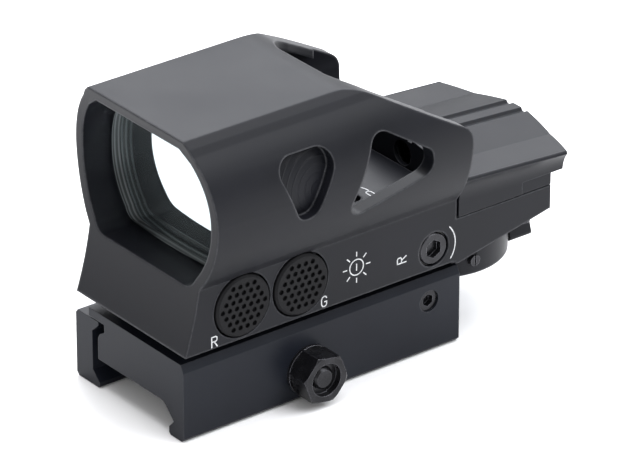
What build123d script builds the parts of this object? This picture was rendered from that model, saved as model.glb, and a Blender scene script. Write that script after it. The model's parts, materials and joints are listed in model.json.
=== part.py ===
from build123d import *
import math
import os

# Open reflex (red dot) sight on a riser with a cross-bolt rail clamp.
# Millimetres. +Y is the direction of aim, +X the shooter's right, +Z up.
# The origin is the centre of the underside of the bounding box: x = 0 is the sight line.

# --- overall size -------------------------------------------------------------------
LENGTH = 83.0
HEIGHT = 55.0
HALF_WIDTH = 19.6
FRONT_Y = LENGTH / 2
TAIL_Y = -LENGTH / 2
BODY_FLOOR = 16.2          # underside of the housing, above the riser
TUNNEL_FLOOR = 27.9        # floor of the hood in front of and behind the lens
SIDE_X = 15.25             # flat lower flanks of the housing
HOOD_REAR = -15.7          # rear edge of the hood and its two wings
SEAM_Z = 24.7              # seam between the housing and the emitter cover
WALL = 1.9                 # hood wall

# --- lens ---------------------------------------------------------------------------
LENS_FRONT = 33.6          # crown of the front face
LENS_JOINT = 31.5          # crown of the cemented joint
CEMENT = 0.05              # glue film between the two lens elements
LENS_BACK = 29.6           # crown of the hollow rear face
LENS_REAR = 28.4           # ledge behind the lens

# --- push buttons -------------------------------------------------------------------
BUTTON_D = 11.0
BUTTON_HOLE_D = 11.7
BUTTON_Z = 23.0
RED_Y = 29.6
GREEN_Y = 17.5
WALL_BEHIND_BUTTONS = -13.4

# --- adjusters ----------------------------------------------------------------------
WINDAGE_Y = -10.9
WINDAGE_Z = 20.5
ELEVATION_Y = 1.0
ELEVATION_TOP = 27.55
ADJUSTER_HEAD_R = 2.9
ADJUSTER_STEM_R = 1.5

# --- emitter and reticle selector ----------------------------------------------------
YAW_Y = -17.5
PITCH_Y = -20.0
PITCH_Z = 21.4
DISC_Z = 24.8              # selector axis
DISC_R = 5.4
RETICLE_R = 4.4
SELECTOR_REST = 24.0       # degrees from straight down, towards -X
SELECTOR_STEP = 16.0

# --- battery ------------------------------------------------------------------------
BOSS_Y = -23.1
BOSS_R = 12.9
BOSS_BOTTOM = 11.5
BATTERY_Y = -21.7
BATTERY_R = 10.0
BATTERY_T = 3.2
CAP_R = 10.72
CAP_HOLE_R = 10.8

# --- riser and rail clamp -------------------------------------------------------------
RISER_FRONT = 40.5
RISER_REAR = -18.0
RISER_TOP = 14.35
PAD_TOP = BODY_FLOOR
NEAR_SIDE = -13.5
RAIL_HALF = 10.6           # half of the 21.2 mm rail width
SEAT_Z = 5.6
APEX_Z = 2.83
JAW_OPEN = 1.5             # how far the jaw stands off the rail when loose
BOLT_Y = 14.5
BOLT_Z = 5.3
BOLT_R = 2.0
NUT_AF = 8.0
PIN_Y = -11.4
PIN_Z = 9.7

os.makedirs("parts", exist_ok=True)


def save(shape, name):
    shape.label = name
    export_step(shape, f"parts/{name}.step")


def box(x0, x1, y0, y1, z0, z1):
    size = (x1 - x0, y1 - y0, z1 - z0)
    centre = ((x0 + x1) / 2, (y0 + y1) / 2, (z0 + z1) / 2)
    return Pos(*centre) * Box(*size)


def rod_x(radius, x0, x1, y, z):
    return Pos((x0 + x1) / 2, y, z) * Rot(0, 90, 0) * Cylinder(radius, x1 - x0)


def rod_y(radius, y0, y1, x, z):
    return Pos(x, (y0 + y1) / 2, z) * Rot(90, 0, 0) * Cylinder(radius, y1 - y0)


def rod_z(radius, z0, z1, x, y):
    return Pos(x, y, (z0 + z1) / 2) * Cylinder(radius, z1 - z0)


def prism_y(outline, y0, y1):
    """Solid with a cross-section in X and Z, from y0 to y1."""
    plane = Plane(origin=(0, y0, 0), x_dir=(1, 0, 0), z_dir=(0, -1, 0))
    return extrude(plane * outline, amount=y1 - y0, dir=(0, 1, 0))


def prism_x(outline, x0, x1):
    """Solid with a side profile in Y and Z, from x0 to x1."""
    plane = Plane(origin=(x0, 0, 0), x_dir=(0, 1, 0), z_dir=(1, 0, 0))
    return extrude(plane * outline, amount=x1 - x0, dir=(1, 0, 0))


def prism_z(outline, z0, z1):
    """Solid with a plan outline in X and Y, from z0 to z1."""
    return extrude(Pos(0, 0, z0) * outline, amount=z1 - z0)


def mirrored_face(half_edges):
    """Close a half outline (x >= 0, ending on x = 0 at both ends) with its mirror image."""
    edges = list(half_edges)
    edges += [mirror(edge, about=Plane.YZ) for edge in half_edges]
    return make_face(edges)


def rounded_polygon(corners):
    """Face from (x, y, radius) corners."""
    points = [(x, y) for x, y, _ in corners]
    radii = [radius for _, _, radius in corners]
    return make_face(FilletPolyline(*points, radius=radii, close=True))


# --- housing ------------------------------------------------------------------------

def hood_section():
    """Outer cross-section of the hood: flat roof, swept flanks, flat lower sides."""
    roof = (13.05, HEIGHT)
    shoulder = (15.1, 52.65)
    widest = (HALF_WIDTH, 41.0)
    knee = (16.6, 30.3)
    return mirrored_face([
        Line((0, HEIGHT), roof),
        Line(roof, (14.25, 53.95)),
        Line((14.25, 53.95), shoulder),
        ThreePointArc(shoulder, (18.3, 47.6), widest),
        ThreePointArc(widest, (18.75, 35.2), knee),
        Line(knee, (SIDE_X, 28.4)),
        Line((SIDE_X, 28.4), (SIDE_X, BODY_FLOOR + 0.5)),
        Line((SIDE_X, BODY_FLOOR + 0.5), (SIDE_X - 0.5, BODY_FLOOR)),
        Line((SIDE_X - 0.5, BODY_FLOOR), (0, BODY_FLOOR)),
    ])


def tunnel_section(shrink=0.0):
    """Clear cross-section of the hood, made smaller all round by shrink."""
    top = (11.4 - 0.4 * shrink, 53.05 - shrink)
    upper = (14.0 - 0.8 * shrink, 51.2 - 0.8 * shrink)
    middle = (17.7 - shrink, 41.3)
    lower = (14.0 - 0.8 * shrink, 30.0 + 0.7 * shrink)
    corner = (12.9 - 0.6 * shrink, 28.55 + 0.8 * shrink)
    base = (11.1 - 0.4 * shrink, TUNNEL_FLOOR + shrink)
    return mirrored_face([
        Line((0, 53.05 - shrink), top),
        Line(top, upper),
        ThreePointArc(upper, (16.75 - shrink, 46.6), middle),
        ThreePointArc(middle, (16.6 - shrink, 34.6), lower),
        ThreePointArc(lower, corner, base),
        Line(base, (0, TUNNEL_FLOOR + shrink)),
    ])


def hood_side(inset=0.0):
    """Side profile of the hood: raked concave front, flat roof, wings sloping down behind."""
    roof_z = HEIGHT - inset
    slope = math.radians(29.7)
    drop = inset * (1 / math.cos(slope) - 1)
    corner_y = 5.4 - drop / math.tan(slope)
    wing_y = HOOD_REAR - (3.0 if inset else 0.0)
    wing_z = roof_z - (corner_y - wing_y) * math.tan(slope)
    front = [
        ThreePointArc((FRONT_Y, BODY_FLOOR), (37.65, 40.5), (39.8, HEIGHT)),
    ]
    if inset:
        front = [
            Line((FRONT_Y + 2, 0), (FRONT_Y + 2, roof_z)),
        ]
    bottom_z = 0.0 if inset else BODY_FLOOR
    top_y = FRONT_Y + 2 if inset else 39.8
    back = FilletPolyline((top_y, roof_z), (corner_y, roof_z), (wing_y, wing_z),
                          (wing_y, bottom_z), radius=[14.0, 3.6])
    bottom = Line((wing_y, bottom_z), (FRONT_Y + (2 if inset else 0), bottom_z))
    return make_face(front + back.edges() + [bottom])


def roof_notch():
    """U-shaped notch in the rear of the roof, in plan."""
    return mirrored_face([
        Line((0, 5.4), (6.0, 5.4)),
        ThreePointArc((6.0, 5.4), (10.6, 3.0), (12.9, -1.6)),
        ThreePointArc((12.9, -1.6), (14.3, -6.5), (15.1, -11.5)),
        Line((15.1, -11.5), (15.5, -17.5)),
        Line((15.5, -17.5), (0, -17.5)),
    ])


def tail_plan(half_width, corner_y, end_y, front_y=HOOD_REAR):
    """Plan outline of the tail: straight flanks and a bowed rear end."""
    arc = ThreePointArc((half_width, corner_y), (0, end_y), (-half_width, corner_y))
    corners = [(-half_width, corner_y), (-half_width, front_y),
               (half_width, front_y), (half_width, corner_y)]
    return make_face([arc, *Polyline(*corners).edges()])


def flank_skin(depth):
    """The outer layer of the hood flanks, to the given depth."""
    core = prism_y(offset(hood_section(), -depth), HOOD_REAR - 5, FRONT_Y + 5)
    return box(-25, 25, HOOD_REAR - 4, FRONT_Y + 4, 28, 60) - core


def front_side_pocket():
    """Outline of the blind pocket in each hood flank."""
    return rounded_polygon([(25.7, 49.0, 2.6), (11.4, 49.0, 3.4), (18.9, 33.4, 2.6)])


def rear_side_window():
    """Outline of the window through each wing."""
    return rounded_polygon([(4.2, 49.0, 2.4), (11.3, 33.2, 2.2), (-7.6, 37.9, 2.6),
                            (-6.9, 42.0, 1.8)])


def battery_boss(radius, bottom, top):
    """Round battery housing with a flat across its rear."""
    flat = box(-20, 20, -45, -33.45, 0, 40)
    return rod_z(radius, bottom, top, 0, BOSS_Y) - flat


def main_housing():
    hood = prism_y(hood_section(), HOOD_REAR, FRONT_Y + 1)
    body = hood & prism_x(hood_side(), -25, 25)
    tail = prism_z(tail_plan(SIDE_X, -36.4, -39.6), BODY_FLOOR, SEAM_Z)
    rise = make_face(Polyline((-16.4, BODY_FLOOR), (-45, BODY_FLOOR + 6.0), (-45, 10),
                              (-16.4, 10), close=True))
    tail -= prism_x(rise, -20, 20)
    body += tail
    body += battery_boss(BOSS_R, BOSS_BOTTOM, 20.5)

    # hood tunnel, with a ledge behind the lens
    opening = prism_x(hood_side(WALL), -25, 25)
    body -= prism_y(tunnel_section(), LENS_REAR, FRONT_Y + 2) & opening
    body -= prism_y(tunnel_section(1.0), -20, LENS_REAR + 0.1) & opening
    body -= prism_z(roof_notch(), 36, 60)
    body -= prism_y(tunnel_section(1.0), -20, -8.5)
    body -= box(-20, 20, -15.2, 45, 15, 16.8) - box(-13.7, 13.7, -17, 38.7, 14, 18)
    skin = flank_skin(2.1)
    for side in (-1, 1):
        x0, x1 = sorted((side * 12, side * 21))
        body -= prism_x(front_side_pocket(), x0, x1) & skin
        body -= prism_x(rear_side_window(), x0, x1)

    # electronics bay with two button holes, open below
    body -= box(WALL_BEHIND_BUTTONS, -5.5, 10.6, 36.2, 10, 26.4)
    body -= box(-6.0, 12.0, 10.6, 32.5, 10, 26.4)
    body -= box(-14.2, 13.2, -9.6, 39.0, 10, BODY_FLOOR + 1.2)
    for y in (RED_Y, GREEN_Y):
        body -= rod_x(BUTTON_HOLE_D / 2, -17, WALL_BEHIND_BUTTONS, y, BUTTON_Z)

    # arm bay, emitter bay and selector slot
    body -= box(-6.0, 6.0, -24.6, 4.0, 17.8, 25.6)
    body -= box(-6.0, 6.0, -9.4, 4.0, 10, 18)
    body -= box(-6.0, -2.0, 3.5, 11.0, 10, 19.0)
    body -= box(-9.4, 9.4, -36.9, -24.5, 20.2, 40)
    body -= box(-6.4, 6.4, -35.9, -33.6, 10, 21)
    body -= rod_z(0.8, 17.0, 24.4, 0, YAW_Y)

    # battery well and cap bore
    body -= rod_z(CAP_HOLE_R, 5, 13.0, 0, BATTERY_Y)
    body -= rod_z(BATTERY_R + 0.15, 12.9, 16.9, 0, BATTERY_Y)

    # adjuster bores
    body -= rod_x(3.2, -20, -13.6, WINDAGE_Y, WINDAGE_Z)
    body -= rod_x(1.75, -14, -5.9, WINDAGE_Y, WINDAGE_Z)
    body -= rod_x(1.9, 5.9, 11.0, WINDAGE_Y, WINDAGE_Z)
    pocket = rounded_polygon([(-6.3, -3.0, 1.5), (6.3, -3.0, 1.5), (6.3, 6.0, 1.5),
                              (-6.3, 6.0, 1.5)])
    body -= prism_z(pocket, 27.4, 30)
    body -= rod_z(3.2, 26.0, 30, 0, ELEVATION_Y)
    body -= rod_z(1.75, 25, 27, 0, ELEVATION_Y)

    # threaded holes, at their minor diameters
    for y in MOUNT_SCREW_Y:
        body -= rod_z(1.5, 10, 23.2, 0, y)
    for x, y in PLATE_SCREWS:
        body -= rod_z(1.0, 10, 21.4, x, y)
    for x in COVER_SCREW_X:
        body -= rod_z(1.1, 10, 26, x, COVER_SCREW_Y)
        body -= rod_z(1.95, 10, 20.6, x, COVER_SCREW_Y)
    body -= rod_x(1.0, -15.5, -8.9, BOSS_SCREW_Y, BOSS_SCREW_Z)
    return body


MOUNT_SCREW_Y = (6.8, 36.6)
PLATE_SCREWS = [(x, y) for y in (6.8, 37.2) for x in (-9.5, 9.5)]
COVER_SCREW_X = (-12.9, 12.9)
COVER_SCREW_Y = -31.6
BOSS_SCREW_Y = -21.4
BOSS_SCREW_Z = 14.3


COVER_FRONT = HOOD_REAR - 0.45


def cover_section():
    """Cross-section of the emitter cover: flared flanks, a lip, and a ribbed deck."""
    lip = (17.5, 32.5)
    return mirrored_face([
        Line((0, 34.35), (1.1, 34.35)),
        Line((1.1, 34.35), (1.5, 33.8)),
        Line((1.5, 33.8), (2.4, 33.8)),
        Line((2.4, 33.8), (2.8, 34.3)),
        ThreePointArc((2.8, 34.3), (6.6, 33.65), (10.2, 33.0)),
        Line((10.2, 33.0), (16.9, 33.0)),
        ThreePointArc((16.9, 33.0), (17.45, 32.85), lip),
        ThreePointArc(lip, (16.0, 30.5), (15.4, 27.6)),
        Line((15.4, 27.6), (SIDE_X, 18.0)),
        Line((SIDE_X, 18.0), (0, 18.0)),
    ])


def emitter_cover():
    plane = Plane(origin=(0, COVER_FRONT, 0), x_dir=(1, 0, 0), z_dir=(0, -1, 0))
    shell = extrude(plane * cover_section(), amount=30, dir=(0, -1, -0.07))
    shell &= prism_z(tail_plan(17.6, -38.0, TAIL_Y, COVER_FRONT), SEAM_Z, 40)
    reveal = tail_plan(20, -45, -46, -10) - tail_plan(15.0, -36.15, -39.35, -5)
    shell -= prism_z(reveal, SEAM_Z - 1, SEAM_Z + 0.3)
    undercut = make_face([
        Line((-45, 20), (-45, 31.2)),
        Line((-45, 31.2), (-41.5, 31.2)),
        ThreePointArc((-41.5, 31.2), (-40.2, 29.0), (-39.6, 26.0)),
        Line((-39.6, 26.0), (-39.6, 20)),
        Line((-39.6, 20), (-45, 20)),
    ])
    shell -= prism_x(undercut, -20, 20)
    rim = prism_z(tail_plan(SIDE_X, -36.4, -39.6, COVER_FRONT), 20, 27.2)
    shell -= prism_z(tail_plan(19, -45, -46, -30), 20, 27.2) - rim
    shell -= box(-9.2, 9.2, -37.6, -18.0, 20, 31.4)
    shell -= rod_y(2.3, -26, -15, 0, WINDOW_Z)
    shell -= rod_y(3.1, -18.2, -16.9, 0, WINDOW_Z)
    for x in COVER_SCREW_X:
        shell -= rod_z(0.85, 20, 29.6, x, COVER_SCREW_Y)
    return shell


WINDOW_Z = 31.1


def emitter_window():
    return rod_y(3.05, -17.9, -16.9, 0, WINDOW_Z)


def bottom_plate():
    plate = box(-14.1, 13.1, -9.5, 38.9, BODY_FLOOR, BODY_FLOOR + 1.2)
    for y in MOUNT_SCREW_Y:
        plate -= rod_z(1.6, 10, 20, 0, y)
    for x, y in PLATE_SCREWS:
        plate -= rod_z(1.1, 10, 20, x, y)
        plate -= Pos(x, y, BODY_FLOOR + 0.45) * Cone(2.0, 1.1, 0.9)
    return plate


def flat_head_screw(x, y, z0, length, radius, head_radius):
    """Countersunk screw whose head is flush at z0 and whose shank points up."""
    head_height = head_radius - radius
    head = Pos(x, y, z0 + head_height / 2) * Cone(head_radius, radius, head_height)
    shank = rod_z(radius, z0 + head_height - 0.01, z0 + length, x, y)
    slot = rod_z(0.75, z0 - 1, z0 + 0.6, x, y)
    return head + shank - slot


def plate_screws():
    return Compound([flat_head_screw(x, y, BODY_FLOOR, 5.0, 1.0, 1.9)
                     for x, y in PLATE_SCREWS])


def socket_screw(x, y, z_head, z_end, radius, head_radius, head_height, key):
    """Socket head cap screw pointing up from its head."""
    head = rod_z(head_radius, z_head, z_head + head_height, x, y)
    shank = rod_z(radius, z_head + head_height - 0.01, z_end, x, y)
    socket = Pos(x, y, z_head + head_height * 0.3) * extrude(
        RegularPolygon(key / math.sqrt(3), 6), head_height * 0.6, both=True)
    return head + shank - socket


def cover_screws():
    return Compound([socket_screw(x, COVER_SCREW_Y, 18.7, 29.4, 0.85, 1.85, 1.9, 1.5)
                     for x in COVER_SCREW_X])


# --- lens ---------------------------------------------------------------------------

def lens_blank(y0, y1, shrink):
    return prism_y(tunnel_section(shrink), y0, y1)


def crowned(crown_y, radius):
    """Ball whose front touches crown_y on the lens axis."""
    return Pos(0, crown_y - radius, 41.0) * Sphere(radius)


def front_element():
    """Front half of the cemented meniscus."""
    blank = lens_blank(LENS_REAR, LENS_FRONT, 0.35)
    bevel = lens_blank(LENS_REAR, LENS_FRONT - 1.75, 0.35)
    for step in range(1, 6):
        bevel += lens_blank(LENS_REAR, LENS_FRONT - 1.75 + 0.1 * step, 0.35 + 0.11 * step)
    bevel += lens_blank(LENS_REAR, LENS_FRONT, 0.95)
    return (blank & bevel & crowned(LENS_FRONT, 121.0)) - crowned(LENS_JOINT + CEMENT, 126.0)


def rear_element():
    """Rear half, whose cemented face is the mirror for the reticle."""
    blank = lens_blank(LENS_REAR, LENS_FRONT, 0.35)
    return (blank & crowned(LENS_JOINT, 126.0)) - crowned(LENS_BACK, 130.0)


def lens_gasket():
    """Thin black bond line between the lens edge and the tunnel."""
    ring = prism_y(tunnel_section(0.02), LENS_REAR, LENS_FRONT - 2.4)
    ring -= prism_y(tunnel_section(0.33), LENS_REAR - 1, LENS_FRONT)
    return ring


# --- buttons and electronics -----------------------------------------------------------

KEY_BACK = -13.95


def push_button(y):
    """Rubber key with a dimpled face."""
    radius = BUTTON_D / 2
    key = rod_x(radius, -15.75, KEY_BACK, y, BUTTON_Z)
    key = chamfer(key.faces().sort_by(Axis.X)[0].edges(), 0.35)
    pitch = 1.45
    dimples = []
    for row in range(-3, 4):
        for column in range(-4, 5):
            dy = pitch * (column + 0.5 * (row % 2))
            dz = pitch * 0.87 * row
            if math.hypot(dy, dz) < radius - 0.75:
                dimples.append(rod_x(0.46, -16, -15.25, y + dy, BUTTON_Z + dz))
    return key - dimples


def keypad_frame():
    """Silicone sheet behind both keys, with a plunger over each switch."""
    sheet = box(-13.35, -12.95, 11.0, 36.1, 17.5, 26.3)
    for y in (RED_Y, GREEN_Y):
        sheet += rod_x(1.6, -13.0, -12.3, y, BUTTON_Z)
        sheet += rod_x(3.2, -13.0, -12.8, y, BUTTON_Z)
    return sheet


def switch_board():
    board = box(-10.6, -9.8, 10.6, 36.2, 17.6, 26.2)
    board -= rod_x(0.6, -12, -9, 23.5, 18.8)
    board -= rod_x(0.6, -12, -9, 23.5, 25.0)
    return board


def tact_switch(y):
    case = box(-11.6, -10.6, y - 2.6, y + 2.6, BUTTON_Z - 2.6, BUTTON_Z + 2.6)
    case = chamfer(case.edges().filter_by(Axis.X), 0.4)
    return case + rod_x(1.1, -12.05, -11.5, y, BUTTON_Z)


def tact_switches():
    return Compound([tact_switch(RED_Y), tact_switch(GREEN_Y)])


def board_components():
    """Controller, oscillator and passives on the back of the switch board."""
    parts = [box(-9.8, -8.7, 21.0, 26.0, 19.5, 24.5), box(-9.8, -9.0, 28.5, 31.5, 20.5, 22.0)]
    for step in range(5):
        y = 13.0 + 1.6 * step
        parts.append(box(-9.8, -9.3, y, y + 0.8, 24.0, 25.4))
    return Compound(parts)


def flex_cable():
    """Flat cable from the switch board, under the arm, and up to the LED frame."""
    thick = 0.2
    strip = box(-9.7, -3.8, 10.8, 12.8, 17.9, 17.9 + thick)
    strip += box(-5.9, -4.4, -24.4, 12.8, 17.9, 17.9 + thick)
    strip += box(-5.9, -4.4, -24.4, -24.4 + thick, 17.9, 24.0)
    strip += box(-5.9, -4.4, -25.7, -24.4 + thick, 24.0 - thick, 24.0)
    return strip


# --- battery --------------------------------------------------------------------------

def battery():
    cell = rod_z(BATTERY_R, 13.0, 13.0 + BATTERY_T, 0, BATTERY_Y)
    cell = fillet(cell.edges(), 0.35)
    return cell - (rod_z(8.7, 16.0, 17, 0, BATTERY_Y) - rod_z(8.4, 15.5, 18, 0, BATTERY_Y))


def battery_contact():
    """Leaf contact above the cell."""
    leaf = rod_z(6.0, 16.6, 16.85, 0, BATTERY_Y) - rod_z(4.6, 16, 17, 0, BATTERY_Y)
    leaf += box(-1.2, 1.2, BATTERY_Y - 5.0, BATTERY_Y + 5.0, 16.6, 16.85)
    leaf += box(-1.0, 1.0, BATTERY_Y - 1.0, BATTERY_Y + 1.0, 16.2, 16.7)
    return leaf


def battery_cap():
    cap = rod_z(CAP_R, BOSS_BOTTOM + 0.1, 12.75, 0, BATTERY_Y)
    cap = chamfer(cap.faces().sort_by(Axis.Z)[0].edges(), 0.3)
    groove = rod_z(CAP_R + 1, 12.05, 12.45, 0, BATTERY_Y) - rod_z(9.9, 12, 12.5, 0, BATTERY_Y)
    slot = box(-8.0, 8.0, BATTERY_Y - 0.9, BATTERY_Y + 0.9, 11, BOSS_BOTTOM + 0.8)
    return cap - groove - slot


def battery_cap_seal():
    ring = rod_z(CAP_R, 12.07, 12.43, 0, BATTERY_Y)
    return ring - rod_z(9.92, 12, 12.5, 0, BATTERY_Y)


def boss_screw():
    """Small screw in the flank of the battery boss that holds the contact carrier."""
    screw = rod_x(1.0, -13.6, -11.2, BOSS_SCREW_Y, BOSS_SCREW_Z)
    return screw - box(-14, -13.1, BOSS_SCREW_Y - 0.15, BOSS_SCREW_Y + 0.15, 13, 16)


# --- adjusters -------------------------------------------------------------------------

def hex_prism(across_flats, height):
    return extrude(RegularPolygon(across_flats / math.sqrt(3), 6), height, both=True)


def adjuster(length):
    """Adjuster screw along +Z, its slotted-hex head at z = 0 and its tip at z = length."""
    head = rod_z(ADJUSTER_HEAD_R, 0, 1.5, 0, 0)
    head = chamfer(head.faces().sort_by(Axis.Z)[0].edges(), 0.25)
    groove = rod_z(4, 0.65, 0.95, 0, 0) - rod_z(2.3, 0.5, 1.1, 0, 0)
    stem = rod_z(ADJUSTER_STEM_R, 1.4, length, 0, 0)
    stem = chamfer(stem.faces().sort_by(Axis.Z)[-1].edges(), 0.5)
    return head + stem - groove - hex_prism(3.0, 1.1)


def windage_screw():
    return Pos(-15.15, WINDAGE_Y, WINDAGE_Z) * Rot(0, 90, 0) * adjuster(10.9)


def elevation_screw():
    return Pos(0, ELEVATION_Y, ELEVATION_TOP) * Rot(180, 0, 0) * adjuster(3.9)


def adjuster_seals():
    """O-rings in the head grooves of both adjusters."""
    ring = rod_z(3.15, 0.68, 0.92, 0, 0) - rod_z(2.35, 0.5, 1.1, 0, 0)
    side = Pos(-15.15, WINDAGE_Y, WINDAGE_Z) * Rot(0, 90, 0) * ring
    top = Pos(0, ELEVATION_Y, ELEVATION_TOP) * Rot(180, 0, 0) * ring
    return side, top


def coil_spring(radius, wire, height, turns):
    """Open coil along +Z from z = 0 to z = height."""
    rise = height - wire
    helix = Helix(pitch=rise / turns, height=rise, radius=radius)
    section = Plane(origin=helix @ 0, z_dir=helix % 0) * Circle(wire / 2)
    return Pos(0, 0, wire / 2) * sweep(section, path=helix)


def windage_spring():
    return Pos(4.3, WINDAGE_Y, WINDAGE_Z) * Rot(0, 90, 0) * coil_spring(1.4, 0.4, 6.5, 6)


def elevation_spring():
    return Pos(0, ELEVATION_Y, 17.45) * coil_spring(1.4, 0.3, 1.6, 2)


# --- emitter ----------------------------------------------------------------------------

def yaw_pin():
    return rod_z(0.8, 17.0, 24.4, 0, YAW_Y)


def emitter_cradle():
    """Gimbal block: turns on the yaw pin and carries the pitch pin."""
    block = box(-2.2, 2.2, PITCH_Y - 1.4, YAW_Y + 1.5, 20.0, 22.8)
    block = chamfer(block.edges().filter_by(Axis.Z), 0.4)
    block -= rod_z(0.84, 19, 24, 0, YAW_Y)
    return block - rod_x(0.7, -9, 9, PITCH_Y, PITCH_Z)


def pitch_pin():
    return rod_x(0.7, -ARM_X, ARM_X, PITCH_Y, PITCH_Z)


def emitter_arm():
    """Rocking arm: adjusters push its front, a gimbal block sits in its middle, and the
    frame round the reticle plate stands at its rear."""
    frame = box(-7.3, 7.3, -33.4, -26.0, 21.5, 30.6)
    frame -= box(-6.2, 6.2, -32.5, -27.2, 20, 32)
    frame -= box(-6.2, 6.2, -28, -25, 26.4, 32)
    arm = box(-ARM_X, ARM_X, -24.1, 3.2, 19.5, 23.2)
    arm -= box(-2.4, 2.4, PITCH_Y - 1.9, YAW_Y + 2.1, 19, 24)
    arm += box(-ARM_X, ARM_X, -27.2, -24.0, 21.5, 24.8)
    frame += arm
    frame -= rod_x(0.74, -9, 9, PITCH_Y, PITCH_Z)
    frame -= rod_y(1.04, -34, -32, 0, DISC_Z)
    frame -= Pos(0, -33.4, DISC_Z + DETENT_R) * Sphere(0.37)
    frame -= rod_y(1.52, -34, -32, 0, DISC_Z + RETICLE_R)
    return frame


ARM_X = 4.0                # half width of the emitter arm
DETENT_R = 1.9             # radius of the detent track on the lever hub


def led():
    """Two-colour LED in the rear plate, on the line of the chosen reticle."""
    body = rod_y(1.5, -33.3, -32.6, 0, DISC_Z + RETICLE_R)
    dome = Pos(0, -32.7, DISC_Z + RETICLE_R) * Sphere(0.4)
    return body + dome


def turned(shape, degrees):
    """Turn a shape about the selector axis, positive towards -X at the lower end."""
    return shape.rotate(Axis((0, 0, DISC_Z), (0, 1, 0)), degrees)


def reticle_plate():
    """Fan-shaped plate with four patterns: dot, cross, ringed dot and ringed cross."""
    fan = rod_y(DISC_R, -32.2, -31.8, 0, DISC_Z)
    fan -= box(-10, 10, -33, -31, DISC_Z - 10, DISC_Z - 1.2)
    for index in range(4):
        angle = math.radians(SELECTOR_STEP * index - SELECTOR_REST)
        x = RETICLE_R * math.sin(angle)
        z = DISC_Z + RETICLE_R * math.cos(angle)
        fan -= rod_y(0.08, -33, -31, x, z)
        if index in (1, 3):
            fan -= Pos(x, -32, z) * (Box(0.7, 1, 0.07) + Box(0.07, 1, 0.7))
        if index in (2, 3):
            ring = rod_y(0.5, -33, -31, x, z) - rod_y(0.42, -34, -30, x, z)
            bridges = Rot(0, 45, 0) * (Box(2, 1, 0.12) + Box(0.12, 1, 2))
            fan -= ring - Pos(x, -32, z) * bridges
    return turned(fan - rod_y(1.0, -33, -31, 0, DISC_Z), SELECTOR_REST)


def selector_shaft():
    return rod_y(1.0, -35.0, -31.5, 0, DISC_Z) + rod_y(1.6, -31.8, -31.3, 0, DISC_Z)


def selector_lever():
    """Thumb lever: a hub behind the frame, a web and a ridged tab below the tail."""
    hub = rod_y(2.6, -35.4, -33.6, 0, DISC_Z)
    hub -= rod_y(DETENT_R + 0.42, -33.9, -33, 0, DISC_Z) - rod_y(DETENT_R - 0.42, -34, -33, 0, DISC_Z)
    web = box(-1.6, 1.6, -35.4, -34.1, 12.4, DISC_Z)
    tab_outline = rounded_polygon([(-2.9, 16.8, 0.3), (2.9, 16.8, 0.3), (2.0, TAB_TIP, 0.6),
                                   (-2.0, TAB_TIP, 0.6)])
    tab = prism_y(tab_outline, TAB_REAR, -34.0)
    for side in (-1, 1):
        for step in range(4):
            groove = Pos(side * 2.5, TAB_REAR + 0.75 + 0.95 * step, 13.4) * Rot(0, -side * 8, 0)
            tab -= groove * Rot(0, 0, 45) * Box(0.42, 0.42, 9)
    lever = hub + web + tab - rod_y(1.0, -37, -33, 0, DISC_Z)
    return turned(lever, SELECTOR_REST)


TAB_REAR = -38.6
TAB_TIP = 9.7


def detent_ball():
    return Pos(0, -33.4, DISC_Z + DETENT_R) * Sphere(0.35)


# --- riser and clamp ---------------------------------------------------------------------

def riser_section():
    """Cross-section of the riser: fixed jaw on -X, notch for the moving jaw on +X."""
    return make_face(Polyline(
        (NEAR_SIDE, 0.6), (NEAR_SIDE + 0.6, 0), (-9.8, 0), (-9.4, 0.4), (-9.4, 1.45),
        (-RAIL_HALF - 0.12, APEX_Z), (-7.95, SEAT_Z), (10.45, SEAT_Z), (10.45, 9.6),
        (9.9, 10.5), (8.6, 11.3), (8.6, 12.8), (13.0, 12.8), (13.0, RISER_TOP),
        (-12.8, RISER_TOP), (NEAR_SIDE, 12.9), close=True))


def riser():
    base = prism_y(riser_section(), RISER_REAR, RISER_FRONT)
    throat = base.edges().filter_by(Axis.Y).sort_by_distance((-7.95, 0, SEAT_Z))[0]
    base = fillet(throat, 2.4)
    pad = rounded_polygon([(-9, -9.2, 2), (9, -9.2, 2), (9, 38.2, 2), (-9, 38.2, 2)])
    base += prism_z(pad, RISER_TOP - 0.5, PAD_TOP)
    base -= rod_z(BOSS_R + 0.3, -1, 20, 0, BOSS_Y)
    base -= rod_x(BOLT_R + 0.08, -20, 20, BOLT_Y, BOLT_Z)
    base -= rod_x(1.55, -11.6, 20, PIN_Y, PIN_Z)
    base -= rod_x(2.0, -20, -11.5, PIN_Y, PIN_Z)
    for y in MOUNT_SCREW_Y:
        base -= rod_z(1.6, 0, 20, 0, y)
        base -= rod_z(2.9, 0, 9.4, 0, y)
    return base


def mount_screws():
    return Compound([socket_screw(0, y, 6.4, 23.0, 1.5, 2.75, 3.0, 2.5)
                     for y in MOUNT_SCREW_Y])


def jaw_section():
    """Cross-section of the moving jaw in its loose position: hook above, lip below."""
    inner = RAIL_HALF + 0.15 + JAW_OPEN
    return make_face(Polyline(
        (inner, APEX_Z), (inner - 1.9, APEX_Z - 1.9), (inner - 1.9, 0.3), (inner - 1.6, 0),
        (16.25, 0), (16.85, 0.6), (16.85, 11.9), (16.3, 12.55), (10.45, 12.55),
        (10.45, 11.9), (11.4, 10.95), (inner, 10.2), close=True))


def clamp_jaw():
    jaw = prism_y(jaw_section(), -13.0, RISER_FRONT - 0.1)
    jaw -= rod_x(BOLT_R, 5, 20, BOLT_Y, BOLT_Z)
    jaw -= rod_x(3.6, 14.6, 20, BOLT_Y, BOLT_Z)
    jaw -= rod_x(1.56, 5, 15.6, PIN_Y, PIN_Z)
    return jaw


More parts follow.
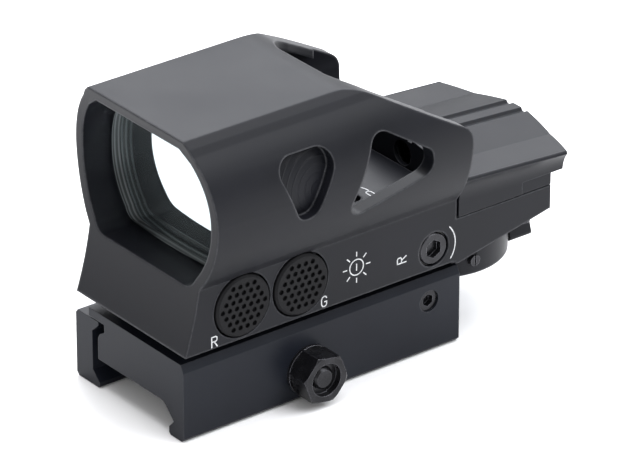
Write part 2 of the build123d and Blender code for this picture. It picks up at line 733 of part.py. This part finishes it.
def cross_bolt():
    """M4 button-head bolt through the jaw and riser; its rounded end shows in the nut."""
    bolt = rod_x(BOLT_R, -18.0, 15, BOLT_Y, BOLT_Z)
    bolt = chamfer(bolt.faces().sort_by(Axis.X)[0].edges(), 0.45)
    head = rod_x(3.55, 14.6, 16.8, BOLT_Y, BOLT_Z)
    head = fillet(head.faces().sort_by(Axis.X)[-1].edges(), 0.8)
    socket = Pos(16.8, BOLT_Y, BOLT_Z) * Rot(0, 90, 0) * hex_prism(2.5, 1.3)
    return bolt + head - socket


def nut_washer():
    washer = rod_x(4.5, NEAR_SIDE - 0.6, NEAR_SIDE, BOLT_Y, BOLT_Z)
    return washer - rod_x(BOLT_R + 0.15, -20, -10, BOLT_Y, BOLT_Z)


def clamp_nut():
    """Hex nut with a chamfered, counterbored outer face."""
    outer, inner = -18.5, NEAR_SIDE - 0.6
    middle = (outer + inner) / 2
    half = (inner - outer) / 2
    hexagon = Pos(middle, BOLT_Y, BOLT_Z) * Rot(0, 90, 0) * Rot(0, 0, 40) * hex_prism(NUT_AF, half)
    cone_r = NUT_AF / 2 + 0.15
    bevel = Pos(outer + half, BOLT_Y, BOLT_Z) * Rot(0, -90, 0) * Cone(
        cone_r + 2 * half * 1.732, cone_r, 2 * half)
    nut = hexagon & bevel
    nut -= rod_x(BOLT_R + 0.05, -20, -10, BOLT_Y, BOLT_Z)
    return nut - rod_x(3.0, -20, outer + 1.3, BOLT_Y, BOLT_Z)


def guide_pin():
    return rod_x(1.5, -11.5, 15.4 - JAW_OPEN, PIN_Y, PIN_Z)


def pin_lock_screw():
    """Socket set screw that closes the guide pin bore."""
    screw = rod_x(2.0, -13.1, -11.5, PIN_Y, PIN_Z)
    return screw - Pos(-13.1, PIN_Y, PIN_Z) * Rot(0, 90, 0) * hex_prism(2.0, 1.1)


side_seal, top_seal = adjuster_seals()

save(main_housing(), "main_housing")
save(emitter_cover(), "emitter_cover")
save(emitter_window(), "emitter_window")
save(bottom_plate(), "bottom_plate")
save(plate_screws(), "bottom_plate_screws")
save(cover_screws(), "cover_screws")
save(front_element(), "lens_front_element")
save(rear_element(), "lens_rear_element")
save(lens_gasket(), "lens_gasket")
save(push_button(RED_Y), "red_button")
save(push_button(GREEN_Y), "green_button")
save(keypad_frame(), "keypad_frame")
save(switch_board(), "switch_board")
save(tact_switches(), "tact_switches")
save(board_components(), "board_components")
save(flex_cable(), "flex_cable")
save(battery(), "battery")
save(battery_contact(), "battery_contact")
save(battery_cap(), "battery_cap")
save(battery_cap_seal(), "battery_cap_seal")
save(boss_screw(), "boss_screw")
save(windage_screw(), "windage_screw")
save(elevation_screw(), "elevation_screw")
save(side_seal, "windage_screw_seal")
save(top_seal, "elevation_screw_seal")
save(windage_spring(), "windage_spring")
save(elevation_spring(), "elevation_spring")
save(yaw_pin(), "yaw_pin")
save(emitter_cradle(), "emitter_cradle")
save(pitch_pin(), "pitch_pin")
save(emitter_arm(), "emitter_arm")
save(led(), "led")
save(reticle_plate(), "reticle_plate")
save(selector_shaft(), "selector_shaft")
save(selector_lever(), "selector_lever")
save(detent_ball(), "detent_ball")
save(riser(), "riser")
save(mount_screws(), "mount_screws")
save(clamp_jaw(), "clamp_jaw")
save(cross_bolt(), "cross_bolt")
save(nut_washer(), "nut_washer")
save(clamp_nut(), "clamp_nut")
save(guide_pin(), "guide_pin")
save(pin_lock_screw(), "pin_lock_screw")
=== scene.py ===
import json
import math

import bpy
from mathutils import Matrix, Vector


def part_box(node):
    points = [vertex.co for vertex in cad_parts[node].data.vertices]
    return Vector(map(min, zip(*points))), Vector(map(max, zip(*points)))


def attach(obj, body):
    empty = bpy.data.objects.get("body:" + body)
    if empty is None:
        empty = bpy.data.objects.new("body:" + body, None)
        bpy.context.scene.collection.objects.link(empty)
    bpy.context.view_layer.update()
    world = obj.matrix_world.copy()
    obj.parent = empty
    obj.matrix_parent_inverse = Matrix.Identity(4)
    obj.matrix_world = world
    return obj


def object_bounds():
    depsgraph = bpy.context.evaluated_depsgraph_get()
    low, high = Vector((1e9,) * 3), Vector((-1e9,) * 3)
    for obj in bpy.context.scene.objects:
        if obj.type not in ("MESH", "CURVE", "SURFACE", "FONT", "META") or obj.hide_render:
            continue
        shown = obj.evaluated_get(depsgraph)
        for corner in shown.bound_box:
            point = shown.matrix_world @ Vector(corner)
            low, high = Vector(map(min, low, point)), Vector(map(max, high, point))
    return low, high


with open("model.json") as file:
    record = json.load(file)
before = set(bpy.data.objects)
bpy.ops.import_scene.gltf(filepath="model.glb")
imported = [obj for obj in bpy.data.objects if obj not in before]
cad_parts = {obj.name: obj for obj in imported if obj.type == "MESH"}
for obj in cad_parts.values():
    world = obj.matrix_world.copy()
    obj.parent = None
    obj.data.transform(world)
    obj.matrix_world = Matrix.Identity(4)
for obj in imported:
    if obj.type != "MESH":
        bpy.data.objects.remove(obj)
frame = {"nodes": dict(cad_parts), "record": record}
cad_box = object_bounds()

MM = 0.001

# --- places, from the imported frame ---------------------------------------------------

windage_lo, windage_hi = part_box("windage_screw")

FLANK_X = -15.25 * MM
PLATFORM_Z = 28.9 * MM
WINDAGE_Y = (windage_lo[1] + windage_hi[1]) / 2
WINDAGE_Z = (windage_lo[2] + windage_hi[2]) / 2

INK = 0.03 * MM              # height of the filled engraving above the surface
STROKE = 0.11 * MM           # half width of an engraved line

# concentric tool marks on the floors of the two flank pockets
RING_CENTRE_Y = 15.5 * MM
RING_CENTRE_Z = 41.0 * MM
RING_PITCH = 1.3 * MM
POCKET_Y = (10.6 * MM, 26.0 * MM)
POCKET_Z = (33.0 * MM, 49.5 * MM)
POCKET_FLOOR_X = 18.5 * MM   # at the height of the ring centre
FLANK_BOW = 36.5             # how fast the bowed flank falls away, per metre

# the view, long lens from the front left and above
VIEW_AZIMUTH = 232.19
VIEW_ELEVATION = 27.24
VIEW_DISTANCE = 0.9442
VIEW_TARGET = Vector((3.96, 0.61, 18.44)) * MM
VIEW_LENS = 322.98


# --- small tools ---------------------------------------------------------------------

def deselect():
    if bpy.context.object and bpy.context.object.mode != "OBJECT":
        bpy.ops.object.mode_set(mode="OBJECT")
    bpy.ops.object.select_all(action="DESELECT")


def make_active(piece):
    deselect()
    piece.select_set(True)
    bpy.context.view_layer.objects.active = piece


def settle(piece, name):
    """Name a finished piece and put its place into its mesh."""
    make_active(piece)
    bpy.ops.object.transform_apply(location=True, rotation=True, scale=True)
    piece.name = name
    piece.data.name = name
    return piece


def join(pieces, name):
    make_active(pieces[0])
    for piece in pieces[1:]:
        piece.select_set(True)
    if len(pieces) > 1:
        bpy.ops.object.join()
    return settle(bpy.context.object, name)


# --- node helpers --------------------------------------------------------------------

def new_material(name):
    material = bpy.data.materials.new(name)
    material.use_nodes = True
    tree = material.node_tree
    tree.nodes.clear()
    output = tree.nodes.new("ShaderNodeOutputMaterial")
    shader = tree.nodes.new("ShaderNodeBsdfPrincipled")
    tree.links.new(shader.outputs["BSDF"], output.inputs["Surface"])
    return material, tree, shader


def node(tree, kind, **values):
    made = tree.nodes.new(kind)
    for key, value in values.items():
        setattr(made, key, value)
    return made


def object_coords(tree, scale=(1, 1, 1), turn=(0, 0, 0), shift=(0, 0, 0)):
    coords = node(tree, "ShaderNodeTexCoord")
    mapping = node(tree, "ShaderNodeMapping")
    mapping.inputs["Scale"].default_value = scale
    mapping.inputs["Rotation"].default_value = turn
    mapping.inputs["Location"].default_value = shift
    tree.links.new(coords.outputs["Object"], mapping.inputs["Vector"])
    return mapping.outputs["Vector"]


def noise(tree, vector, per_metre, detail=3.0, roughness=0.55):
    made = node(tree, "ShaderNodeTexNoise")
    made.inputs["Scale"].default_value = per_metre
    made.inputs["Detail"].default_value = detail
    made.inputs["Roughness"].default_value = roughness
    tree.links.new(vector, made.inputs["Vector"])
    return made.outputs["Fac"]


def remap(tree, value, low, high, from_low=0.3, from_high=0.7):
    made = node(tree, "ShaderNodeMapRange")
    made.inputs["From Min"].default_value = from_low
    made.inputs["From Max"].default_value = from_high
    made.inputs["To Min"].default_value = low
    made.inputs["To Max"].default_value = high
    tree.links.new(value, made.inputs["Value"])
    return made.outputs["Result"]


def blend_colours(tree, factor, dark, light):
    mix = node(tree, "ShaderNodeMix", data_type="RGBA")
    tree.links.new(factor, mix.inputs["Factor"])
    for socket, colour in (("A_Color", dark), ("B_Color", light)):
        target = next(s for s in mix.inputs if s.identifier == socket)
        if hasattr(colour, "is_output"):
            tree.links.new(colour, target)
        else:
            target.default_value = (*colour, 1)
    return next(s for s in mix.outputs if s.identifier == "Result_Color")


def bump(tree, height, distance, strength=1.0, normal=None):
    made = node(tree, "ShaderNodeBump")
    made.inputs["Strength"].default_value = strength
    made.inputs["Distance"].default_value = distance
    tree.links.new(height, made.inputs["Height"])
    if normal is not None:
        tree.links.new(normal, made.inputs["Normal"])
    return made.outputs["Normal"]


def rounded_edge(tree, radius):
    """Softened normals at sharp corners, and a mask that is 1 along those corners."""
    soft = node(tree, "ShaderNodeBevel", samples=6)
    soft.inputs["Radius"].default_value = radius
    plain = node(tree, "ShaderNodeNewGeometry")
    dot = node(tree, "ShaderNodeVectorMath", operation="DOT_PRODUCT")
    tree.links.new(soft.outputs["Normal"], dot.inputs[0])
    tree.links.new(plain.outputs["Normal"], dot.inputs[1])
    mask = remap(tree, dot.outputs["Value"], 1.0, 0.0, 0.80, 0.99)
    return soft.outputs["Normal"], mask


def arithmetic(tree, operation, first, second):
    made = node(tree, "ShaderNodeMath", operation=operation)
    for socket, value in zip(made.inputs, (first, second)):
        if hasattr(value, "is_output"):
            tree.links.new(value, socket)
        else:
            socket.default_value = value
    return made.outputs["Value"]


def cutter_rings(tree):
    """Height of the concentric tool marks on the floors of the two flank pockets."""
    where = object_coords(tree)
    parts = node(tree, "ShaderNodeSeparateXYZ")
    tree.links.new(where, parts.inputs["Vector"])
    x, y, z = (parts.outputs[axis] for axis in "XYZ")
    along = arithmetic(tree, "SUBTRACT", y, RING_CENTRE_Y)
    up = arithmetic(tree, "SUBTRACT", z, RING_CENTRE_Z)
    square = arithmetic(tree, "ADD", arithmetic(tree, "MULTIPLY", along, along),
                        arithmetic(tree, "MULTIPLY", up, up))
    distance = arithmetic(tree, "SQRT", square, 0.0)
    wave = arithmetic(tree, "SINE", arithmetic(tree, "MULTIPLY", distance,
                                               2 * math.pi / RING_PITCH), 0.0)
    wave = arithmetic(tree, "POWER", arithmetic(tree, "MAXIMUM", wave, 0.0), 4.0)
    bow = arithmetic(tree, "MULTIPLY", arithmetic(tree, "MULTIPLY", up, up), FLANK_BOW)
    floor_x = arithmetic(tree, "SUBTRACT", POCKET_FLOOR_X, bow)
    inside = arithmetic(tree, "LESS_THAN", arithmetic(tree, "ABSOLUTE", x, 0.0), floor_x)
    for value, (low, high) in ((y, POCKET_Y), (z, POCKET_Z)):
        inside = arithmetic(tree, "MULTIPLY", inside,
                            arithmetic(tree, "GREATER_THAN", value, low))
        inside = arithmetic(tree, "MULTIPLY", inside,
                            arithmetic(tree, "LESS_THAN", value, high))
    return arithmetic(tree, "MULTIPLY", wave, inside)


# --- finishes ------------------------------------------------------------------------

def anodised_black(name, base=(0.005, 0.0055, 0.0075), sheen=(0.008, 0.0085, 0.0115),
                   edge_highlight=(0.085, 0.087, 0.095), rough=(0.38, 0.46),
                   edge_radius=0.18 * MM, rings=False):
    """Bead-blasted, black anodised aluminium with a highlight painted along its edges, broken up
    by noise.
    """
    material, tree, shader = new_material(name)
    where = object_coords(tree)
    cloud = noise(tree, where, 55, 4.0)
    grit = noise(tree, where, 9000, 2.0, 0.7)
    edge_highlight_noise = noise(tree, where, 900, 4.0, 0.65)
    soft_normal, corner = rounded_edge(tree, edge_radius)
    colour = blend_colours(tree, remap(tree, cloud, 0.0, 1.0), base, sheen)
    # painted highlight: the corner mask, broken up by noise, lightens the edges towards the pale
    # edge colour
    painted_edge_highlight_mask = node(tree, "ShaderNodeMath", operation="MULTIPLY")
    tree.links.new(corner, painted_edge_highlight_mask.inputs[0])
    tree.links.new(remap(tree, edge_highlight_noise, 0.35, 1.0), painted_edge_highlight_mask.inputs[1])
    colour = blend_colours(tree, painted_edge_highlight_mask.outputs["Value"], colour, edge_highlight)
    tree.links.new(colour, shader.inputs["Base Color"])
    tree.links.new(remap(tree, cloud, *rough), shader.inputs["Roughness"])
    normal = bump(tree, grit, 0.010 * MM, 0.55, soft_normal)
    if rings:
        normal = bump(tree, cutter_rings(tree), 0.05 * MM, 0.8, normal)
    tree.links.new(normal, shader.inputs["Normal"])
    shader.inputs["Specular IOR Level"].default_value = 0.15
    shader.inputs["Metallic"].default_value = 0.0
    return material


def moulded_rubber(name):
    """Black silicone with a faint bloom and fine spark-eroded texture."""
    material, tree, shader = new_material(name)
    where = object_coords(tree)
    bloom = noise(tree, where, 260, 4.0)
    pores = noise(tree, where, 5200, 2.0, 0.6)
    soft_normal, _ = rounded_edge(tree, 0.12 * MM)
    colour = blend_colours(tree, remap(tree, bloom, 0.0, 1.0),
                           (0.004, 0.004, 0.005), (0.007, 0.007, 0.008))
    tree.links.new(colour, shader.inputs["Base Color"])
    tree.links.new(remap(tree, bloom, 0.55, 0.72), shader.inputs["Roughness"])
    tree.links.new(bump(tree, pores, 0.014 * MM, 0.5, soft_normal), shader.inputs["Normal"])
    shader.inputs["Specular IOR Level"].default_value = 0.16
    return material


def black_oxide_steel(name, rough=(0.20, 0.34)):
    """Turned steel with an oiled black oxide: tool lines, and a highlight painted along the
    edges.
    """
    material, tree, shader = new_material(name)
    where = object_coords(tree)
    lines = noise(tree, object_coords(tree, scale=(7, 1, 1)), 1500, 2.0)
    cloud = noise(tree, where, 420, 4.0)
    soft_normal, corner = rounded_edge(tree, 0.14 * MM)
    colour = blend_colours(tree, remap(tree, cloud, 0.0, 1.0),
                           (0.012, 0.012, 0.014), (0.024, 0.024, 0.027))
    # painted highlight: the corner mask lightens the edges to a pale grey
    colour = blend_colours(tree, corner, colour, (0.16, 0.16, 0.18))
    tree.links.new(colour, shader.inputs["Base Color"])
    tree.links.new(remap(tree, cloud, *rough), shader.inputs["Roughness"])
    tree.links.new(bump(tree, lines, 0.008 * MM, 0.5, soft_normal), shader.inputs["Normal"])
    shader.inputs["Metallic"].default_value = 0.65
    return material


def bare_metal(name, tint, rough=(0.22, 0.36), stretch=(1, 1, 9)):
    """Plain machined metal with drawn lines."""
    material, tree, shader = new_material(name)
    lines = noise(tree, object_coords(tree, scale=stretch), 1400, 3.0)
    stain = noise(tree, object_coords(tree), 240, 4.0)
    dull = tuple(0.72 * c for c in tint)
    tree.links.new(blend_colours(tree, remap(tree, stain, 0.0, 1.0), dull, tint),
                   shader.inputs["Base Color"])
    tree.links.new(remap(tree, lines, *rough), shader.inputs["Roughness"])
    tree.links.new(bump(tree, lines, 0.006 * MM, 0.5), shader.inputs["Normal"])
    shader.inputs["Metallic"].default_value = 1.0
    return material


def polished_lens(name, tint, band_highlight):
    """Clear coated front glass: polished face, and a finely ground, blackened bevel with pale
    bands painted along it as the highlights of the lens edge.
    """
    material, tree, shader = new_material(name)
    where = object_coords(tree)
    split = node(tree, "ShaderNodeSeparateXYZ")
    tree.links.new(where, split.inputs["Vector"])
    surface = node(tree, "ShaderNodeNewGeometry")
    facing = node(tree, "ShaderNodeSeparateXYZ")
    tree.links.new(surface.outputs["Normal"], facing.inputs["Vector"])
    slope = arithmetic(tree, "ABSOLUTE", facing.outputs["Y"], 0.0)
    ground = remap(tree, slope, 1.0, 0.0, 0.90, 0.94)
    # painted highlight: pale bands along Y on the blackened bevel stand in for the bright lines
    # on the edge of the glass; the dark between them is the blackened ground glass
    lines = arithmetic(tree, "SINE", arithmetic(tree, "MULTIPLY", split.outputs["Y"],
                                                2 * math.pi / (0.8 * MM)), 0.0)
    blackened_bevel_and_highlight_bands = blend_colours(tree, remap(tree, lines, 0.0, 1.0, -0.2, 0.9),
                            (0.006, 0.007, 0.008), band_highlight)
    tree.links.new(blend_colours(tree, ground, tint, blackened_bevel_and_highlight_bands), shader.inputs["Base Color"])
    tree.links.new(remap(tree, ground, 0.0, 1.0, 0.0, 1.0), shader.inputs["Alpha"])
    tree.links.new(remap(tree, ground, 0.02, 0.28, 0.0, 1.0), shader.inputs["Roughness"])
    shader.inputs["IOR"].default_value = 1.52
    return material


def mirror_coat(name, tint, rim, metallic):
    """Partly silvered rear glass whose tint deepens at a glancing angle."""
    material, tree, shader = new_material(name)
    facing = node(tree, "ShaderNodeLayerWeight")
    facing.inputs["Blend"].default_value = 0.35
    tree.links.new(blend_colours(tree, facing.outputs["Facing"], tint, rim),
                   shader.inputs["Base Color"])
    shader.inputs["Roughness"].default_value = 0.0
    shader.inputs["Metallic"].default_value = metallic
    return material


def plain_moulding(name, dark, light, rough=(0.4, 0.55), grain=2600, depth=0.010 * MM):
    """Moulded or coated small part with slight mottling."""
    material, tree, shader = new_material(name)
    where = object_coords(tree)
    mottle = noise(tree, where, 380, 4.0)
    fine = noise(tree, where, grain, 2.0)
    tree.links.new(blend_colours(tree, remap(tree, mottle, 0.0, 1.0), dark, light),
                   shader.inputs["Base Color"])
    tree.links.new(remap(tree, mottle, *rough), shader.inputs["Roughness"])
    tree.links.new(bump(tree, fine, depth, 0.4), shader.inputs["Normal"])
    return material


def filled_engraving(name):
    """White enamel wiped into the engraving, a little uneven."""
    material, tree, shader = new_material(name)
    where = object_coords(tree)
    patchy = noise(tree, where, 2400, 4.0, 0.6)
    tree.links.new(blend_colours(tree, remap(tree, patchy, 0.0, 1.0),
                                 (0.42, 0.43, 0.44), (0.66, 0.67, 0.68)),
                   shader.inputs["Base Color"])
    tree.links.new(bump(tree, patchy, 0.01 * MM, 0.5), shader.inputs["Normal"])
    shader.inputs["Roughness"].default_value = 0.55
    return material


def circuit_board(name):
    """Green solder mask over faint copper tracks."""
    material, tree, shader = new_material(name)
    where = object_coords(tree)
    tracks = node(tree, "ShaderNodeTexBrick")
    tracks.inputs["Scale"].default_value = 420
    tracks.inputs["Mortar Size"].default_value = 0.03
    tracks.inputs["Color1"].default_value = (0.010, 0.085, 0.035, 1)
    tracks.inputs["Color2"].default_value = (0.012, 0.11, 0.045, 1)
    tracks.inputs["Mortar"].default_value = (0.03, 0.20, 0.08, 1)
    tree.links.new(where, tracks.inputs["Vector"])
    tree.links.new(tracks.outputs["Color"], shader.inputs["Base Color"])
    tree.links.new(bump(tree, tracks.outputs["Fac"], 0.02 * MM, 0.4), shader.inputs["Normal"])
    shader.inputs["Roughness"].default_value = 0.28
    shader.inputs["Coat Weight"].default_value = 0.4
    return material


FINISHES = {
    "black_anodised": anodised_black("black_anodised"),
    "housing_anodised": anodised_black("housing_anodised", rings=True, edge_radius=0.6 * MM),
    "riser_anodised": anodised_black("riser_anodised", base=(0.007, 0.008, 0.012),
                                     sheen=(0.010, 0.012, 0.017), rough=(0.32, 0.40)),
    "black_rubber": moulded_rubber("black_rubber"),
    "black_steel": black_oxide_steel("black_steel"),
    "bright_steel": bare_metal("bright_steel", (0.60, 0.60, 0.61)),
    # the second colour is the painted highlight of the bands on the lens bevel
    "coated_glass": polished_lens("coated_glass", (0.03, 0.05, 0.055), (0.11, 0.115, 0.12)),
    "mirror_glass": mirror_coat("mirror_glass", (0.56, 0.62, 0.63), (0.50, 0.60, 0.62), 0.97),
    "black_sealant": plain_moulding("black_sealant", (0.010, 0.010, 0.010),
                                    (0.020, 0.020, 0.020), (0.35, 0.5)),
    "circuit_board": circuit_board("circuit_board"),
    "switch_plastic": plain_moulding("switch_plastic", (0.03, 0.03, 0.03), (0.05, 0.05, 0.05)),
    "chip_plastic": plain_moulding("chip_plastic", (0.02, 0.02, 0.022), (0.04, 0.04, 0.044)),
    "flex_polyimide": plain_moulding("flex_polyimide", (0.34, 0.13, 0.02),
                                     (0.52, 0.23, 0.04), (0.2, 0.3)),
    "cell_steel": bare_metal("cell_steel", (0.78, 0.78, 0.76), (0.14, 0.24), (1, 1, 1)),
    "contact_brass": bare_metal("contact_brass", (0.86, 0.62, 0.22), (0.18, 0.3)),
    "spring_steel": bare_metal("spring_steel", (0.52, 0.52, 0.54), (0.25, 0.4), (1, 1, 1)),
    "cast_zinc": bare_metal("cast_zinc", (0.46, 0.47, 0.49), (0.4, 0.55), (1, 1, 1)),
    "led_lens": plain_moulding("led_lens", (0.50, 0.05, 0.04), (0.66, 0.09, 0.07), (0.1, 0.2)),
}
INK_WHITE = filled_engraving("filled_engraving")

slots = {part["node"]: part["material_slot"] for part in frame["record"]["subparts"]}
special = {"riser": "riser_anodised", "clamp_jaw": "riser_anodised",
           "main_housing": "housing_anodised"}
for name, obj in frame["nodes"].items():
    finish = FINISHES[special.get(name, slots[name])]
    if not obj.material_slots:
        obj.data.materials.append(finish)
    for place in obj.material_slots:
        place.material = finish


# --- engraved marks ------------------------------------------------------------------

def on_flank(y, z):
    """A point on the near flank, just proud of the surface."""
    return Vector((FLANK_X, y, z))


def stroke_between(start, end, normal, half_width=STROKE):
    """One engraved line: a thin bar with bevelled ends."""
    middle = (start + end) / 2
    along = (end - start).normalized()
    across = normal.cross(along)
    bpy.ops.mesh.primitive_cube_add(size=1, location=(0, 0, 0))
    bar = bpy.context.object
    length = (end - start).length + half_width
    basis = Matrix((along * length, across * half_width * 2, normal * INK * 2)).transposed()
    bar.matrix_world = Matrix.Translation(middle) @ basis.to_4x4()
    make_active(bar)
    bpy.ops.object.transform_apply(location=True, rotation=True, scale=True)
    bevel = bar.modifiers.new("soft", "BEVEL")
    bevel.width = half_width * 0.45
    bevel.segments = 2
    bpy.ops.object.modifier_apply(modifier="soft")
    return bar


def stroke_path(points, normal, half_width=STROKE):
    return [stroke_between(a, b, normal, half_width) for a, b in zip(points, points[1:])]


def arc_points(centre, radius, start, end, steps, right, up):
    points = []
    for index in range(steps + 1):
        angle = math.radians(start + (end - start) * index / steps)
        points.append(centre + radius * (math.cos(angle) * right + math.sin(angle) * up))
    return points


def letter(shape, origin, right, up, height, normal):
    """A stencil-style letter from strokes on a 2 x 3 grid."""
    bars = []
    for run in shape:
        points = [origin + height / 3 * (u * right + v * up) for u, v in run]
        bars += stroke_path(points, normal)
    return bars


LETTER_R = [[(0, 0), (0, 3), (1.3, 3), (1.7, 2.7), (1.7, 1.9), (1.3, 1.6), (0, 1.6)],
            [(0.8, 1.6), (1.8, 0)]]
LETTER_G = [[(1.7, 2.4), (1.4, 2.9), (0.9, 3), (0.3, 2.8), (0, 2.1), (0, 0.9), (0.3, 0.2),
             (0.9, 0), (1.5, 0.2), (1.7, 0.6), (1.7, 1.4), (1.0, 1.4)]]
LETTER_U = [[(0, 3), (0, 0.7), (0.4, 0.1), (0.9, 0), (1.4, 0.1), (1.8, 0.7), (1.8, 3)]]

LEFT = Vector((-1, 0, 0))
FORWARD = Vector((0, 1, 0))
BACK = Vector((0, -1, 0))
UP = Vector((0, 0, 1))


def finish_mark(bars, name, body="sight_body"):
    mark = join(bars, name)
    mark.data.materials.clear()
    mark.data.materials.append(INK_WHITE)
    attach(mark, body)
    return mark


def button_letters():
    size = 1.9 * MM
    finish_mark(letter(LETTER_R, on_flank(35.9 * MM, 17.1 * MM), BACK, UP, size, LEFT),
                "mark_red")
    finish_mark(letter(LETTER_G, on_flank(13.1 * MM, 17.2 * MM), BACK, UP, size, LEFT),
                "mark_green")


def sun_mark():
    """Brightness symbol: a ring with a bar inside and eight rays."""
    centre = on_flank(5.7 * MM, 22.4 * MM)
    ring = 1.45 * MM
    bars = stroke_path(arc_points(centre, ring, 0, 360, 24, BACK, UP), LEFT)
    bars += stroke_path([centre - UP * 0.6 * MM, centre + UP * 0.6 * MM], LEFT)
    for index in range(8):
        angle = math.radians(45 * index)
        ray = math.cos(angle) * BACK + math.sin(angle) * UP
        bars += stroke_path([centre + ray * 2.05 * MM, centre + ray * 2.85 * MM], LEFT)
    finish_mark(bars, "mark_brightness")


def windage_marks():
    centre = on_flank(WINDAGE_Y, WINDAGE_Z)
    arc = arc_points(centre, 4.6 * MM, -38, 44, 12, BACK, UP)
    finish_mark(stroke_path(arc, LEFT), "mark_windage_arc")
    corner = on_flank(-4.9 * MM, 20.1 * MM)
    finish_mark(letter(LETTER_R, corner, UP, FORWARD, 1.9 * MM, LEFT), "mark_windage_letter")


def elevation_marks():
    """Arrow arc and letter beside the elevation adjuster on the platform."""
    path = [Vector((x * MM, y * MM, PLATFORM_Z))
            for x, y in ((-1.8, -4.2), (-2.1, -4.7), (-2.7, -5.15), (-3.5, -5.4), (-4.3, -5.45))]
    finish_mark(stroke_path(path, UP), "mark_elevation_arc")
    corner = Vector((-4.5 * MM, -4.5 * MM, PLATFORM_Z))
    finish_mark(letter(LETTER_U, corner, BACK, LEFT, 1.7 * MM, UP), "mark_elevation_letter")


button_letters()
sun_mark()
windage_marks()
elevation_marks()


# --- stage, light and camera ---------------------------------------------------------

def stage_material():
    material, tree, shader = new_material("pale_floor")
    speck = noise(tree, object_coords(tree), 30, 3.0)
    tree.links.new(blend_colours(tree, remap(tree, speck, 0.0, 1.0),
                                 (0.90, 0.90, 0.90), (0.94, 0.94, 0.94)),
                   shader.inputs["Base Color"])
    shader.inputs["Roughness"].default_value = 0.9
    return material


def floor():
    deselect()
    bpy.ops.mesh.primitive_plane_add(size=6, location=(0, 0, cad_box[0][2] - 0.0001))
    plane = bpy.context.object
    plane.name = "floor"
    plane.data.materials.append(stage_material())


def softbox(name, place, aim, width, height, power, colour=(1, 1, 1)):
    light = bpy.data.lights.new(name, "AREA")
    light.shape = "RECTANGLE"
    light.size = width
    light.size_y = height
    light.energy = power
    light.color = colour
    lamp = bpy.data.objects.new(name, light)
    bpy.context.scene.collection.objects.link(lamp)
    lamp.location = place
    lamp.rotation_euler = (Vector(aim) - Vector(place)).to_track_quat("-Z", "Y").to_euler()
    return lamp


def lighting():
    world = bpy.data.worlds.new("studio")
    world.use_nodes = True
    world.node_tree.nodes["Background"].inputs["Color"].default_value = (1.0, 1.0, 1.0, 1)
    world.node_tree.nodes["Background"].inputs["Strength"].default_value = 0.62
    bpy.context.scene.world = world
    middle = (0, 0, 0.03)
    softbox("overhead", (0.02, -0.08, 0.85), middle, 0.9, 0.8, 11.0, (0.97, 0.97, 1.0))
    softbox("back_top", (0.55, -0.48, 0.55), middle, 0.8, 0.6, 7.0, (0.93, 0.95, 1.0))
    softbox("left_high", (-0.45, -0.35, 0.55), middle, 0.6, 0.4, 4.0, (0.95, 0.97, 1.0))
    softbox("front_fill", (-0.25, 0.75, 0.35), middle, 0.6, 0.5, 0.8)


def camera():
    """The camera, looking along the view named above."""
    azimuth, elevation = math.radians(VIEW_AZIMUTH), math.radians(VIEW_ELEVATION)
    back = Vector((math.sin(azimuth) * math.cos(elevation),
                   -math.cos(azimuth) * math.cos(elevation), math.sin(elevation)))
    data = bpy.data.cameras.new("camera")
    data.lens = VIEW_LENS
    data.sensor_width = 36
    data.clip_start, data.clip_end = 0.05, 20
    eye = bpy.data.objects.new("camera", data)
    bpy.context.scene.collection.objects.link(eye)
    eye.location = VIEW_TARGET + back * VIEW_DISTANCE
    eye.rotation_mode = "QUATERNION"
    eye.rotation_quaternion = (-back).to_track_quat("-Z", "Y")
    bpy.context.scene.camera = eye


floor()
lighting()
camera()
bpy.context.scene.view_settings.view_transform = "Standard"
